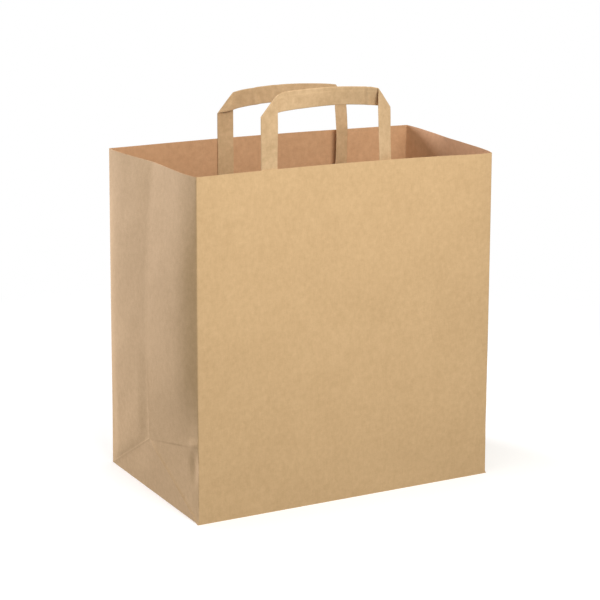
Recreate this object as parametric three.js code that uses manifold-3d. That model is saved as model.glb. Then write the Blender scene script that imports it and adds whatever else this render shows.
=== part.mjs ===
// Paper carrier bag with flat paper handles, standing open.
// Millimetres, +Z up, the front panel faces -Y, the origin is under the middle of the bag.
import * as THREE from 'three';
import { mergeVertices } from 'three/addons/utils/BufferGeometryUtils.js';
import Module from 'manifold-3d';

const wasm = await Module();
wasm.setup();

// The bag: one sheet, folded to a tube with gussets and a block bottom
const bagWidth = 303;
const bagDepth = 182;
const bagHeight = 305;
const paper = 0.4;
const bottomOverlap = 30;
const seamWidth = 20;
const seamInset = 12;

// How far each corner stands from its place in a true box, at the foot and at the rim,
// and how much its rim is raised
const cornerShift = {
  frontLeft: { foot: [3.5, -3.6], rim: [6.0, 1.5], raise: 1.3 },
  frontRight: { foot: [-3.0, 2.2], rim: [-5.6, 2.3], raise: 0.2 },
  backRight: { foot: [1.0, -1.0], rim: [2.4, -12.4], raise: 0.8 },
  backLeft: { foot: [-2.2, 3.6], rim: [-1.6, -0.6], raise: -1.6 },
};

// The panels curve a little: the front one in, the back one out, most at the rim
const frontBowIn = 8;
const backBowOut = 7;
const bowGrowth = 1.5;

// Beside the front right corner the front panel rolls out, most at the rim
const edgeRoll = 2.4;
const edgeRollWidth = 12;
const edgeRollFade = 48;
const edgeRollFrom = 90;
const edgeRollWhole = 280;

// The gusset's folds: the middle crease ends in the tip of a triangle over the foot. The crease is
// pressed in at the rim and stands out below it, and the paper swells out between it and the corners.
const tipHeight = 52;
const kinkHeight = 70;
const kinkFade = 78;
const gussetRimIn = { Left: 3, Right: -1 };
const gussetBellyOut = 6;
const gussetBellyHeight = 135;
const bellyFall = 1.4;
const backSwell = 2.6;
const frontSwell = 3.2;
const cornerFullness = 2.6;
const swellAtRim = 0.45;
const swellLeftLow = 0.05;
const swellRise = 80;
const rimReach = 90;
const gussetFold = 0.5;

// The handles: a flat strip, turned by a diagonal fold at both top corners. The left leg's outer edge
// ends at cornerAboveRim. From there the band's lower edge climbs at firstRise, bends to archRise,
// arches over and comes down at lastFall. The right leg is turned by twist and leans in by lean.
const stripWidth = 16.4;
const stripThickness = 0.8;
const foldRadius = 0.5;
const bendRun = 5;
const clearance = 0.3;
const legLength = 153;
const twistDepth = 20;
const bandTurnStart = 0.3;
const bandTurnEnd = 0.9;
const foldFade = 20;
const slantRun = 40;
const frontHandle = {
  side: 'front',
  middle: -16.2,
  width: 133.2,
  cornerAboveRim: 46.2,
  firstRise: 9.5,
  archRise: 4.8,
  lastFall: 7.3,
  twist: 22.5,
  lean: 3.5,
};
const backHandle = {
  side: 'back',
  middle: 23.7,
  width: 134.6,
  cornerAboveRim: 23,
  firstRise: 10.6,
  archRise: 7.9,
  lastFall: 6.6,
  twist: 24.5,
  lean: -3.6,
};

// The patches: a paper over the ends of each handle's legs
const patchMargin = 16;
const patchHeight = 62;
const patchBelowLegs = 6;
const patchRamp = 2;

// How finely the sheets are cut
const panelSteps = 14;
const halfGussetSteps = 8;
const triangleSteps = 3;
const footRows = 4;
const wallRows = 13;
const legRows = 24;
const foldRows = 6;
const bandRows = 26;
const stripSteps = 4;
const patchRows = 8;
const patchMiddleSteps = 6;
const normalStep = 0.02;

const kraft = new THREE.MeshStandardMaterial({ color: 0xd2ab79, roughness: 0.85, metalness: 0 });
const handleKraft = new THREE.MeshStandardMaterial({ color: 0xcda671, roughness: 0.85, metalness: 0 });
const patchKraft = new THREE.MeshStandardMaterial({ color: 0xc19a6b, roughness: 0.88, metalness: 0 });

// Closed meshes from grids of points

function solidFromTriangles(triangles) {
  const geometry = new THREE.BufferGeometry();
  const flat = triangles.flat().flatMap((point) => [point.x, point.y, point.z]);
  geometry.setAttribute('position', new THREE.Float32BufferAttribute(flat, 3));
  const merged = mergeVertices(geometry, 1e-4);
  const kept = [];
  const index = merged.index.array;
  for (let i = 0; i < index.length; i += 3) {
    const [a, b, c] = [index[i], index[i + 1], index[i + 2]];
    if (a !== b && b !== c && c !== a) kept.push(a, b, c);
  }
  return new wasm.Manifold(new wasm.Mesh({
    numProp: 3,
    vertProperties: new Float32Array(merged.attributes.position.array),
    triVerts: new Uint32Array(kept),
  }));
}

function quad(list, a, b, c, d) {
  list.push([a, b, c], [a, c, d]);
}

// A closed body through horizontal rings of points, all running the same way round
function loft(rings) {
  const triangles = [];
  const count = rings[0].length;
  for (let row = 0; row + 1 < rings.length; row += 1) {
    for (let i = 0; i < count; i += 1) {
      const next = (i + 1) % count;
      quad(triangles, rings[row][i], rings[row][next], rings[row + 1][next], rings[row + 1][i]);
    }
  }
  const cap = (ring, up) => {
    const centre = ring.reduce((sum, point) => sum.add(point), new THREE.Vector3()).divideScalar(count);
    ring.forEach((point, i) => {
      const next = ring[(i + 1) % count];
      triangles.push(up ? [centre, point, next] : [centre, next, point]);
    });
  };
  cap(rings[0], false);
  cap(rings[rings.length - 1], true);
  return solidFromTriangles(triangles);
}

// A thick sheet between two grids, near(u, v) and far(u, v), with u and v from 0 to 1
function sheet(columns, rows, near, far) {
  const grid = (surface) => Array.from({ length: rows + 1 }, (_, row) => (
    Array.from({ length: columns + 1 }, (_, column) => surface(column / columns, row / rows))));
  const front = grid(near);
  const back = grid(far);
  const triangles = [];
  for (let r = 0; r < rows; r += 1) {
    for (let c = 0; c < columns; c += 1) {
      quad(triangles, front[r][c], front[r][c + 1], front[r + 1][c + 1], front[r + 1][c]);
      quad(triangles, back[r][c], back[r + 1][c], back[r + 1][c + 1], back[r][c + 1]);
    }
  }
  for (let c = 0; c < columns; c += 1) {
    quad(triangles, back[0][c], back[0][c + 1], front[0][c + 1], front[0][c]);
    quad(triangles, front[rows][c], front[rows][c + 1], back[rows][c + 1], back[rows][c]);
  }
  for (let r = 0; r < rows; r += 1) {
    quad(triangles, back[r][0], front[r][0], front[r + 1][0], back[r + 1][0]);
    quad(triangles, front[r][columns], back[r][columns], back[r + 1][columns], front[r + 1][columns]);
  }
  return solidFromTriangles(triangles);
}

// An upright prism over a flat outline of [x, y] points
function prism(outline, low, high) {
  const ring = (z) => outline.map(([x, y]) => new THREE.Vector3(x, y, z));
  return loft([ring(low), ring(high)]);
}

function namedMesh(name, solid, material) {
  const { vertProperties, triVerts } = solid.getMesh();
  const geometry = new THREE.BufferGeometry();
  geometry.setAttribute('position', new THREE.BufferAttribute(new Float32Array(vertProperties), 3));
  geometry.setIndex(new THREE.BufferAttribute(new Uint32Array(triVerts), 1));
  geometry.computeVertexNormals();
  const mesh = new THREE.Mesh(geometry, material);
  mesh.name = name;
  return mesh;
}

// Where the bag's corners and panels stand at a height

const degToRad = THREE.MathUtils.degToRad;
const lerp = THREE.MathUtils.lerp;
const smooth = THREE.MathUtils.smoothstep;

function corner(name, z) {
  const share = z / bagHeight;
  const shift = cornerShift[name];
  const x = (name.endsWith('Left') ? -1 : 1) * bagWidth / 2;
  const y = (name.startsWith('front') ? -1 : 1) * bagDepth / 2;
  return {
    x: x + lerp(shift.foot[0], shift.rim[0], share),
    y: y + lerp(shift.foot[1], shift.rim[1], share),
  };
}

// A row's height at a share of the way between two corners
function raised(from, to, along, height) {
  const rim = lerp(cornerShift[from].raise, cornerShift[to].raise, along);
  return height + rim * height / bagHeight;
}

// The outer face of the front or back panel, as the y of a point x, z on it
function panelY(side, x, z) {
  const left = corner(`${side}Left`, z);
  const right = corner(`${side}Right`, z);
  const along = THREE.MathUtils.clamp((x - left.x) / (right.x - left.x), 0, 1);
  const bow = side === 'front' ? frontBowIn : backBowOut;
  const bowNow = bow * (z / bagHeight) ** bowGrowth * Math.sin(Math.PI * along);
  const y = lerp(left.y, right.y, along) + bowNow;
  if (side === 'back') return y;
  const edge = Math.max(right.x - x, 0);
  const rolled = edge < edgeRollWidth
    ? edge / edgeRollWidth
    : 1 - smooth(edge, edgeRollWidth, edgeRollWidth + edgeRollFade);
  return y - edgeRoll * rolled * smooth(z, edgeRollFrom, edgeRollWhole);
}

// How far a gusset's middle crease stands out of the plane through its corners
function gussetBelly(side, z) {
  const above = (z - gussetBellyHeight) / (bagHeight - gussetBellyHeight);
  if (above < 0) return gussetBellyOut * Math.sin((Math.PI / 2) * (z / gussetBellyHeight));
  const fall = Math.min(above, 1) ** bellyFall;
  return lerp(-gussetRimIn[side], gussetBellyOut, Math.cos((Math.PI / 2) * fall));
}

// The same for a point between a fold (share 0) and the corner (share 1), on the row that starts at
// the height rowHeight. The swell is fullest near the corner, and less towards the foot and the rim.
function halfGussetOut(share, foldOut, swell, rowHeight, z) {
  const rise = smooth(rowHeight, tipHeight, tipHeight + swellRise);
  const aboveFoot = Math.min(rowHeight / tipHeight, 1) * lerp(swellLeftLow, 1, rise);
  const belowRim = lerp(1, swellAtRim, smooth(z, bagHeight - rimReach, bagHeight));
  const swollen = (1 + cornerFullness * share ** 3) * Math.sin(Math.PI * share);
  return foldOut * (1 - share) + swell * aboveFoot * belowRim * swollen;
}

// One row of a gusset from the back corner to the front one, as [along, height] pairs.
// Low rows bend at the triangle's two diagonal folds, and all rise to the kink at the front corner.
function gussetRow(height) {
  const toTip = Math.min(height / tipHeight, 1);
  const lift = height < tipHeight
    ? (kinkHeight - tipHeight) * toTip * toTip
    : (kinkHeight - tipHeight) * Math.max(0, 1 - (height - tipHeight) / kinkFade);
  const backFold = gussetFold * toTip;
  const frontFold = 1 - (1 - gussetFold) * toTip;
  const points = [];
  const run = (from, to, heightFrom, heightTo, steps) => {
    for (let i = 0; i < steps; i += 1) {
      points.push([lerp(from, to, i / steps), lerp(heightFrom, heightTo, i / steps)]);
    }
  };
  run(0, backFold, height, height, halfGussetSteps);
  run(backFold, frontFold, height, height, triangleSteps);
  run(frontFold, 1, height, height + lift, halfGussetSteps);
  return { points, frontHeight: height + lift };
}

// A point of a gusset's outer face. Between the two diagonal folds the triangle over the foot is flat.
function gussetPoint(side, along, z, rowHeight) {
  const back = corner(`back${side}`, z);
  const front = corner(`front${side}`, z);
  const toTip = Math.min(rowHeight / tipHeight, 1);
  const backFold = gussetFold * toTip;
  const frontFold = 1 - (1 - gussetFold) * toTip;
  const foldOut = toTip < 1 ? gussetBelly(side, tipHeight) * toTip : gussetBelly(side, z);
  let out = foldOut;
  if (along < backFold) {
    out = halfGussetOut(1 - along / backFold, foldOut, backSwell, rowHeight, z);
  } else if (along > frontFold) {
    out = halfGussetOut((along - frontFold) / (1 - frontFold), foldOut, frontSwell, rowHeight, z);
  }
  const outward = side === 'Left' ? -1 : 1;
  return new THREE.Vector3(
    lerp(back.x, front.x, along) + outward * out,
    lerp(back.y, front.y, along),
    raised(`back${side}`, `front${side}`, along, z),
  );
}

// One ring round the bag, counter-clockwise from above, starting at the front left corner.
// The long glued seam is a second thickness of paper on the back panel's outer face.
function ring(height, seamThickness) {
  const { points, frontHeight } = gussetRow(height);
  const list = [];
  for (let i = 0; i < panelSteps; i += 1) {
    const along = i / panelSteps;
    const x = lerp(corner('frontLeft', frontHeight).x, corner('frontRight', frontHeight).x, along);
    const z = raised('frontLeft', 'frontRight', along, frontHeight);
    list.push(new THREE.Vector3(x, panelY('front', x, frontHeight), z));
  }
  list.push(gussetPoint('Right', 1, frontHeight, height));
  for (const [along, z] of [...points].reverse()) list.push(gussetPoint('Right', along, z, height));
  const backRight = corner('backRight', height);
  const backLeft = corner('backLeft', height);
  for (const distance of backStations(height).slice(1)) {
    const x = backRight.x - distance;
    const z = raised('backRight', 'backLeft', distance / (backRight.x - backLeft.x), height);
    const onSeam = distance > seamInset && distance < seamInset + seamWidth + paper;
    list.push(new THREE.Vector3(x, panelY('back', x, height) + (onSeam ? seamThickness : 0), z));
  }
  list.push(new THREE.Vector3(backLeft.x, backLeft.y, raised('backRight', 'backLeft', 1, height)));
  for (const [along, z] of points.slice(1)) list.push(gussetPoint('Left', along, z, height));
  return list;
}

// Distances of the back panel's points from its right corner, with two at each edge of the seam
function backStations(height) {
  const width = corner('backRight', height).x - corner('backLeft', height).x;
  const seam = [seamInset, seamInset + paper, seamInset + seamWidth, seamInset + seamWidth + paper];
  const rest = [];
  for (let i = 1; i < panelSteps; i += 1) {
    rest.push(lerp(seam[3], width, i / panelSteps));
  }
  return [0, ...seam, ...rest];
}

// The same ring moved in by a distance, each point along the bisector of its two walls
function inset(points, distance) {
  const count = points.length;
  const wallNormal = (i, step) => {
    let j = i;
    let far = i;
    do {
      far = (far + step + count) % count;
    } while (points[far].distanceTo(points[j]) < 1e-4);
    const [from, to] = step > 0 ? [points[j], points[far]] : [points[far], points[j]];
    return new THREE.Vector2(to.y - from.y, from.x - to.x).normalize();
  };
  return points.map((point, i) => {
    const before = wallNormal(i, -1);
    const after = wallNormal(i, 1);
    const scale = distance / (1 + before.dot(after));
    return new THREE.Vector3(
      point.x - (before.x + after.x) * scale,
      point.y - (before.y + after.y) * scale,
      point.z,
    );
  });
}

// The bag's body

function rowHeights(from) {
  const heights = [from];
  for (let i = 1; i <= footRows; i += 1) heights.push(tipHeight * i / footRows);
  for (let i = 1; i <= wallRows; i += 1) heights.push(lerp(tipHeight, bagHeight, i / wallRows));
  return heights;
}

function bagBody() {
  const floor = 3 * paper;
  const past = 5;
  const flat = (points, z) => points.map((point) => new THREE.Vector3(point.x, point.y, z));
  const outer = loft(rowHeights(0).map((height) => ring(height, paper)));
  const innerRings = rowHeights(floor).map((height) => inset(ring(height, 0), paper));
  innerRings[0] = flat(innerRings[0], floor);
  innerRings.push(flat(innerRings[innerRings.length - 1], bagHeight + past));
  let body = outer.subtract(loft(innerRings));

  // Between the tucked-in gusset ends the floor is the flaps alone, and their overlap is double
  const flapReach = (bagDepth + bottomOverlap) / 2;
  const middleLeft = -bagWidth / 2 + flapReach;
  const middleRight = bagWidth / 2 - flapReach;
  const frontWall = Math.max(corner('frontLeft', 0).y, corner('frontRight', 0).y) + 2 * paper;
  const backWall = Math.min(corner('backLeft', 0).y, corner('backRight', 0).y) - 2 * paper;
  const pocket = (low, high, z) => prism(
    [[middleLeft, low], [middleRight, low], [middleRight, high], [middleLeft, high]], z, floor + paper);
  const edge = bottomOverlap / 2;
  body = body.subtract(pocket(frontWall, -edge, paper));
  body = body.subtract(pocket(edge + 2 * paper, backWall, paper));
  body = body.subtract(pocket(-edge - past, edge + past, 2 * paper));

  // Under the bag the mitred flaps leave each gusset end bare in a triangle, two papers up
  for (const side of ['Left', 'Right']) {
    const out = side === 'Left' ? -1 : 1;
    const front = corner(`front${side}`, 0);
    const back = corner(`back${side}`, 0);
    const tip = [out * (bagWidth - bagDepth) / 2, (front.y + back.y) / 2];
    const triangle = [[front.x + out * past, front.y + past], [back.x + out * past, back.y - past], tip];
    if (side === 'Left') triangle.reverse();
    body = body.subtract(prism(triangle, -1, 2 * paper));
  }
  // The front flap's free edge is a line along the underside
  body = body.subtract(prism(
    [[middleLeft, edge], [middleRight, edge], [middleRight, edge + paper], [middleLeft, edge + paper]],
    -1, paper));
  return body;
}

// The handles, each described from its own panel: depth grows from the panel to the bag's middle

function inward(side) {
  return side === 'front' ? 1 : -1;
}

function innerFace(side, x, z) {
  return panelY(side, x, Math.min(z, bagHeight)) + inward(side) * (paper + clearance);
}

function legFoot(handle) {
  return bagHeight + handle.cornerAboveRim - legLength;
}

function patchTop(handle) {
  return legFoot(handle) - patchBelowLegs + patchHeight;
}

// The band's lower edge, from the left leg's outer corner: straight where the strip lies double,
// a short bend, a low arch, and straight again where it lies double
function bandShape(handle) {
  const rise = degToRad(handle.firstRise);
  const arch = degToRad(handle.archRise);
  const fall = degToRad(handle.lastFall);
  const firstDouble = stripWidth * Math.tan(Math.PI / 4 + rise / 2);
  const lastDouble = stripWidth * Math.tan(Math.PI / 4 + fall / 2);
  const bendRadius = bendRun / (rise - arch);
  const bendWidth = bendRadius * (Math.sin(rise) - Math.sin(arch));
  const doubled = firstDouble * Math.cos(rise) + lastDouble * Math.cos(fall);
  const radius = (handle.width - doubled - bendWidth) / (Math.sin(arch) + Math.sin(fall));
  const length = firstDouble + bendRun + radius * (arch + fall) + lastDouble;
  return { rise, arch, fall, firstDouble, lastDouble, bendRadius, radius, length };
}

// The step along an arc that starts at one climb and ends at another
function arcStep(radius, from, to) {
  const step = new THREE.Vector2(Math.sin(from) - Math.sin(to), Math.cos(to) - Math.cos(from));
  return step.multiplyScalar(radius);
}

// A point of the band's lower edge and its climb there
function bandEdge(shape, along) {
  const { rise, arch, fall, firstDouble, lastDouble, bendRadius, radius, length } = shape;
  const point = new THREE.Vector2(Math.cos(rise), Math.sin(rise));
  point.multiplyScalar(Math.min(along, firstDouble));
  if (along <= firstDouble) return { point, climb: rise };
  const bent = Math.min(along - firstDouble, bendRun);
  point.add(arcStep(bendRadius, rise, rise - bent / bendRadius));
  if (bent < bendRun) return { point, climb: rise - bent / bendRadius };
  const arched = Math.min(along, length - lastDouble) - firstDouble - bendRun;
  point.add(arcStep(radius, arch, arch - arched / radius));
  const last = Math.max(0, along - length + lastDouble);
  point.x += last * Math.cos(fall);
  point.y -= last * Math.sin(fall);
  return { point, climb: last > 0 ? -fall : arch - arched / radius };
}

// The turn of the paper round a fold: how far it reaches past the fold line, and how deep it lies
function foldOver(past) {
  const half = Math.PI * foldRadius / 2;
  if (past <= -half) return { reach: past + half - foldRadius, depth: 0 };
  if (past >= half) return { reach: half - foldRadius - past, depth: 2 * foldRadius };
  const angle = (past + half) / foldRadius;
  return { reach: foldRadius * (Math.sin(angle) - 1), depth: foldRadius * (1 - Math.cos(angle)) };
}

// The middle of the strip's thickness. The width is counted from the legs' outer edge, which is the
// band's lower edge, and the length from the left corner, so it is negative on the left leg.
function stripMiddle(handle, across, length) {
  const shape = bandShape(handle);
  const end = bandEdge(shape, shape.length).point;
  const left = handle.middle - handle.width / 2;
  const right = left + handle.width;
  const height = bagHeight + handle.cornerAboveRim;
  const first = length < shape.length / 2;
  const foldAngle = Math.PI / 4 + (first ? shape.rise : shape.fall) / 2;
  const beyond = first ? length : shape.length - length;
  const past = Math.cos(foldAngle) * beyond - Math.sin(foldAngle) * across;
  const { reach, depth: foldDepth } = foldOver(past);
  let x = first ? left + across : right - across;
  let z = first ? height + length : height + end.y + beyond;
  if (past > 0) {
    const { point, climb } = bandEdge(shape, length);
    x = left + point.x - across * Math.sin(climb);
    z = height + point.y + across * Math.cos(climb);
  }
  const shift = (reach + Math.abs(past)) * (1 - smooth(Math.abs(past), 1, foldFade));
  x += (first ? -1 : 1) * Math.sin(foldAngle) * shift;
  z += Math.cos(foldAngle) * shift;

  let share = 0;
  let leanShare = 0;
  if (past > 0) {
    share = smooth((x - left) / handle.width, bandTurnStart, bandTurnEnd);
    leanShare = share;
  } else if (!first) {
    share = smooth(z, patchTop(handle), bagHeight - twistDepth);
    leanShare = THREE.MathUtils.clamp((z - bagHeight) / handle.cornerAboveRim, 0, 1);
  }
  const turn = degToRad(handle.twist) * share;
  const fromPivot = handle.side === 'front' ? stripWidth - across : Math.min(right - x, stripWidth);
  x += (handle.side === 'front' ? -1 : 1) * fromPivot * (1 - Math.cos(turn));
  const depth = foldDepth + fromPivot * Math.sin(turn) + handle.lean * leanShare;
  const y = innerFace(handle.side, x, z) + inward(handle.side) * (depth + stripThickness / 2);
  return new THREE.Vector3(x, y, z);
}

// Lines across the strip, as a length at its outer edge and a slant: square at the feet, along the folds
function stripStations(handle) {
  const shape = bandShape(handle);
  const firstSlant = Math.tan(Math.PI / 4 + shape.rise / 2);
  const lastSlant = Math.tan(Math.PI / 4 + shape.fall / 2);
  const nearFold = Math.PI * foldRadius / 2 * Math.hypot(1, Math.max(firstSlant, lastSlant));
  const end = shape.length + legLength + bandEdge(shape, shape.length).point.y;
  const stations = [];
  const run = (from, to, rows, slant) => {
    for (let i = 0; i < rows; i += 1) {
      const length = lerp(from, to, i / rows);
      stations.push({ length, slant: slant(length) });
    }
  };
  const easing = (distance) => 1 - smooth(distance, 0, slantRun);
  run(-legLength, -nearFold, legRows, (length) => firstSlant * easing(-nearFold - length));
  run(-nearFold, nearFold, foldRows, () => firstSlant);
  run(nearFold, shape.length - nearFold, bandRows,
    (length) => lerp(firstSlant, -lastSlant, (length - nearFold) / (shape.length - 2 * nearFold)));
  run(shape.length - nearFold, shape.length + nearFold, foldRows, () => -lastSlant);
  run(shape.length + nearFold, end, legRows,
    (length) => -lastSlant * easing(length - shape.length - nearFold));
  stations.push({ length: end, slant: 0 });
  return stations;
}

function buildHandle(handle) {
  const rings = stripStations(handle).map(({ length, slant }) => {
    const face = (sign) => Array.from({ length: stripSteps + 1 }, (_, i) => {
      const across = stripWidth * i / stripSteps;
      const here = stripMiddle(handle, across, length + slant * across);
      const wider = across + normalStep;
      const beside = stripMiddle(handle, wider, length + slant * wider).sub(here);
      const onward = stripMiddle(handle, across, length + slant * across + normalStep).sub(here);
      const normal = onward.cross(beside).normalize().multiplyScalar(inward(handle.side));
      return here.addScaledVector(normal, -sign * stripThickness / 2);
    });
    const ring = [...face(1), ...face(-1).reverse()];
    return inward(handle.side) > 0 ? ring : ring.reverse();
  });
  return loft(rings);
}

// A patch lies on its panel and steps over the two legs
function buildPatch(handle) {
  const left = handle.middle - handle.width / 2;
  const right = handle.middle + handle.width / 2;
  const low = legFoot(handle) - patchBelowLegs;
  const over = stripThickness + clearance;
  const stations = [left - patchMargin];
  for (const start of [left, right - stripWidth]) {
    stations.push(start - clearance - patchRamp, start - clearance);
    stations.push(start + stripWidth + clearance, start + stripWidth + clearance + patchRamp);
    if (start === left) {
      const gap = (right - left) - 2 * (stripWidth + clearance + patchRamp);
      for (let i = 1; i < patchMiddleSteps; i += 1) {
        stations.push(left + stripWidth + clearance + patchRamp + gap * i / patchMiddleSteps);
      }
    }
  }
  stations.push(right + patchMargin);
  const onLeg = (x) => [left, right - stripWidth].some(
    (start) => Math.abs(x - start - stripWidth / 2) < stripWidth / 2 + clearance + patchRamp / 2);
  const face = (extra) => (u, v) => {
    const x = stations[Math.round(u * (stations.length - 1))];
    const z = lerp(low, patchTop(handle), v);
    const depth = (onLeg(x) ? over : 0) + extra;
    return new THREE.Vector3(x, innerFace(handle.side, x, z) + inward(handle.side) * depth, z);
  };
  const [near, far] = [face(0), face(paper)];
  const columns = stations.length - 1;
  return inward(handle.side) > 0
    ? sheet(columns, patchRows, near, far)
    : sheet(columns, patchRows, far, near);
}

const bag = new THREE.Group();
bag.add(namedMesh('bag_body', bagBody(), kraft));
bag.add(namedMesh('front_handle', buildHandle(frontHandle), handleKraft));
bag.add(namedMesh('back_handle', buildHandle(backHandle), handleKraft));
bag.add(namedMesh('front_handle_patch', buildPatch(frontHandle), patchKraft));
bag.add(namedMesh('back_handle_patch', buildPatch(backHandle), patchKraft));

// The origin goes under the middle of the whole bag
const bounds = new THREE.Box3().setFromObject(bag);
const middle = bounds.getCenter(new THREE.Vector3());
bag.position.set(-middle.x, -middle.y, -bounds.min.z);

export default bag;
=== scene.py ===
import math

import bpy
from mathutils import Matrix, Vector, noise


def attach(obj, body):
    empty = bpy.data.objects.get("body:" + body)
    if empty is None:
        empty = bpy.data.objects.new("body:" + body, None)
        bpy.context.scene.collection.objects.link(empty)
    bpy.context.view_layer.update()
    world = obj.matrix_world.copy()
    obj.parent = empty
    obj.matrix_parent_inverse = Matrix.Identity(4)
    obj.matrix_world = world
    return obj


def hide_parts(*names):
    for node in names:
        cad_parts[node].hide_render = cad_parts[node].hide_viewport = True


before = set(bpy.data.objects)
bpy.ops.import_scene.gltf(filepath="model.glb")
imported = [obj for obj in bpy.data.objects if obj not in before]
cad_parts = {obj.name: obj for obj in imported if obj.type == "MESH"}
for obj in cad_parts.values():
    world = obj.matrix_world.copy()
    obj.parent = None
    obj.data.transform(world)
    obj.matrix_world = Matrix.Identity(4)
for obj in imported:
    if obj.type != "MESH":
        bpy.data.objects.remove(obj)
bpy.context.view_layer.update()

# The bag. One sheet of brown kraft paper, folded to a tube with two side gussets and glued along
# one long seam. Its foot is folded into a block bottom. The bag was folded flat and then opened,
# so the gussets keep a middle crease, and two diagonal creases that run down to the corners.

MM = 0.001
BAG_WIDTH = 303
BAG_DEPTH = 182
BAG_HEIGHT = 305
PAPER = 0.4

# How far each corner stands from a true box, at the foot and at the rim, and how much it is raised
CORNER_SHIFT = {
    "front_left": ((3.5, -3.6), (6.0, 1.5), 1.3),
    "front_right": ((-3.0, 2.2), (-5.6, 2.3), 0.2),
    "back_right": ((1.0, -1.0), (2.4, -12.4), 0.8),
    "back_left": ((-2.2, 3.6), (-1.6, -0.6), -1.6),
}

# The panels bow, and the front one rolls out beside its right corner, more towards the rim
FRONT_BOW_IN = 8
BACK_BOW_OUT = 7
BOW_GROWTH = 1.5
FRONT_EDGE_ROLL = 2.4
FRONT_EDGE_ROLL_WIDTH = 12
EDGE_ROLL_FADE = 5
EDGE_ROLL_FROM = 90
EDGE_ROLL_WHOLE = 280

# The paper's waves: height and length of a long and a short one, the places where the noise is
# read for each side, and the strip beside folds and foot in which they die away
PANEL_WAVES = ((0.7, 95), (0.22, 34))
GUSSET_WAVES = ((0.9, 70), (0.3, 22))
WAVE_PLACE = {"front": 3, "back": 11, "left": 31, "right": 47}
SHORT_WAVE_PLACE = 20
PANEL_CALM = 25
GUSSET_CALM = 16
GUSSET_CALM_FOOT = 20

# The gussets. The middle crease ends in the tip of a triangle over the foot, and two diagonals run
# from there to the corners. The crease is pressed in at the rim and stands out below it, and the
# paper swells out on both sides of it.
TIP_HEIGHT = 52
KINK_HEIGHT = 70
KINK_FADE = 78
CREASE_ALONG = 0.5
CREASE_WIDTH = 1.8
RIM_IN = {"left": 3, "right": -1}
BELLY_OUT = 6
BELLY_HEIGHT = 135
BELLY_FALL = 1.4
BACK_SWELL = 2.6
FRONT_SWELL = 3.2
CORNER_FULLNESS = 2.6
SWELL_AT_RIM = 0.45
SWELL_LEFT_LOW = 0.05
SWELL_RISE = 80
RIM_REACH = 90

# Pressed folds stand proud of the paper around them
FOLD_PROUD = 0.12
BACK_DIAGONAL_PROUD = 0.06
FRONT_DIAGONAL_PROUD = 1.2
FOLD_HALF_WIDTH = 1.5
FRONT_DIAGONAL_HALF_WIDTH = 2.6
DIAGONAL_FADE = 6
KINK_PROUD = 1.0
KINK_ABOVE_TIP = 2
KINK_HALF_HEIGHT = 5

# Under the kink lies a dent, and over the back diagonal the paper is plump like a pillow
DIMPLE = 1.8
DIMPLE_RISE = (30, 48)
DIMPLE_FALL = (54, 67)
DIMPLE_FROM_CORNER = 8.5
DIMPLE_WIDTH = 6
PILLOW = 2.2
PILLOW_REACH = 9
PILLOW_SLOPE = 60
PILLOW_START = 0.12
PILLOW_END = 0.38
PILLOW_FALL = (60, 150)


def lerp(a, b, share):
    return a + (b - a) * share


def smooth(value, low, high):
    share = min(max((value - low) / (high - low), 0), 1)
    return share * share * (3 - 2 * share)


def bump(value, middle, half_width):
    return math.exp(-((value - middle) / half_width) ** 2)


def waves(x, y, z, length):
    return noise.noise(Vector((x / length, y / length, z / length)))


def raised(start, end, along, height):
    """A row's height at a share of the way between two corners."""
    return height + lerp(CORNER_SHIFT[start][2], CORNER_SHIFT[end][2], along) * height / BAG_HEIGHT


def corner(name, z):
    (foot_x, foot_y), (rim_x, rim_y), _ = CORNER_SHIFT[name]
    share = z / BAG_HEIGHT
    x = (-1 if name.endswith("left") else 1) * BAG_WIDTH / 2 + lerp(foot_x, rim_x, share)
    y = (-1 if name.startswith("front") else 1) * BAG_DEPTH / 2 + lerp(foot_y, rim_y, share)
    return x, y


def panel_y(side, x, z):
    """The outer face of the front or back panel, with its bow and the paper's slow waves."""
    left_x, left_y = corner(side + "_left", z)
    right_x, right_y = corner(side + "_right", z)
    along = min(max((x - left_x) / (right_x - left_x), 0), 1)
    bow = FRONT_BOW_IN if side == "front" else BACK_BOW_OUT
    y = lerp(left_y, right_y, along) + bow * (z / BAG_HEIGHT) ** BOW_GROWTH * math.sin(math.pi * along)
    from_corner = min(along, 1 - along) * BAG_WIDTH
    calm = smooth(from_corner, 0, PANEL_CALM) * smooth(z, 0, PANEL_CALM)
    (high, length), (short_high, short_length) = PANEL_WAVES
    place = WAVE_PLACE[side]
    wave = high * waves(x, place, z, length)
    wave += short_high * waves(x, place + SHORT_WAVE_PLACE, z, short_length)
    y += calm * wave
    if side == "front":
        edge = (right_x - x) / FRONT_EDGE_ROLL_WIDTH
        rolled = max(edge, 0) if edge < 1 else 1 - smooth(edge, 1, EDGE_ROLL_FADE)
        y -= FRONT_EDGE_ROLL * rolled * smooth(z, EDGE_ROLL_FROM, EDGE_ROLL_WHOLE)
    return y


def gusset_belly(side, z):
    """How far the gusset's middle crease stands out of the plane of the corners."""
    above = (z - BELLY_HEIGHT) / (BAG_HEIGHT - BELLY_HEIGHT)
    if above < 0:
        return BELLY_OUT * math.sin(math.pi / 2 * z / BELLY_HEIGHT)
    return lerp(-RIM_IN[side], BELLY_OUT, math.cos(math.pi / 2 * min(above, 1) ** BELLY_FALL))


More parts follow.
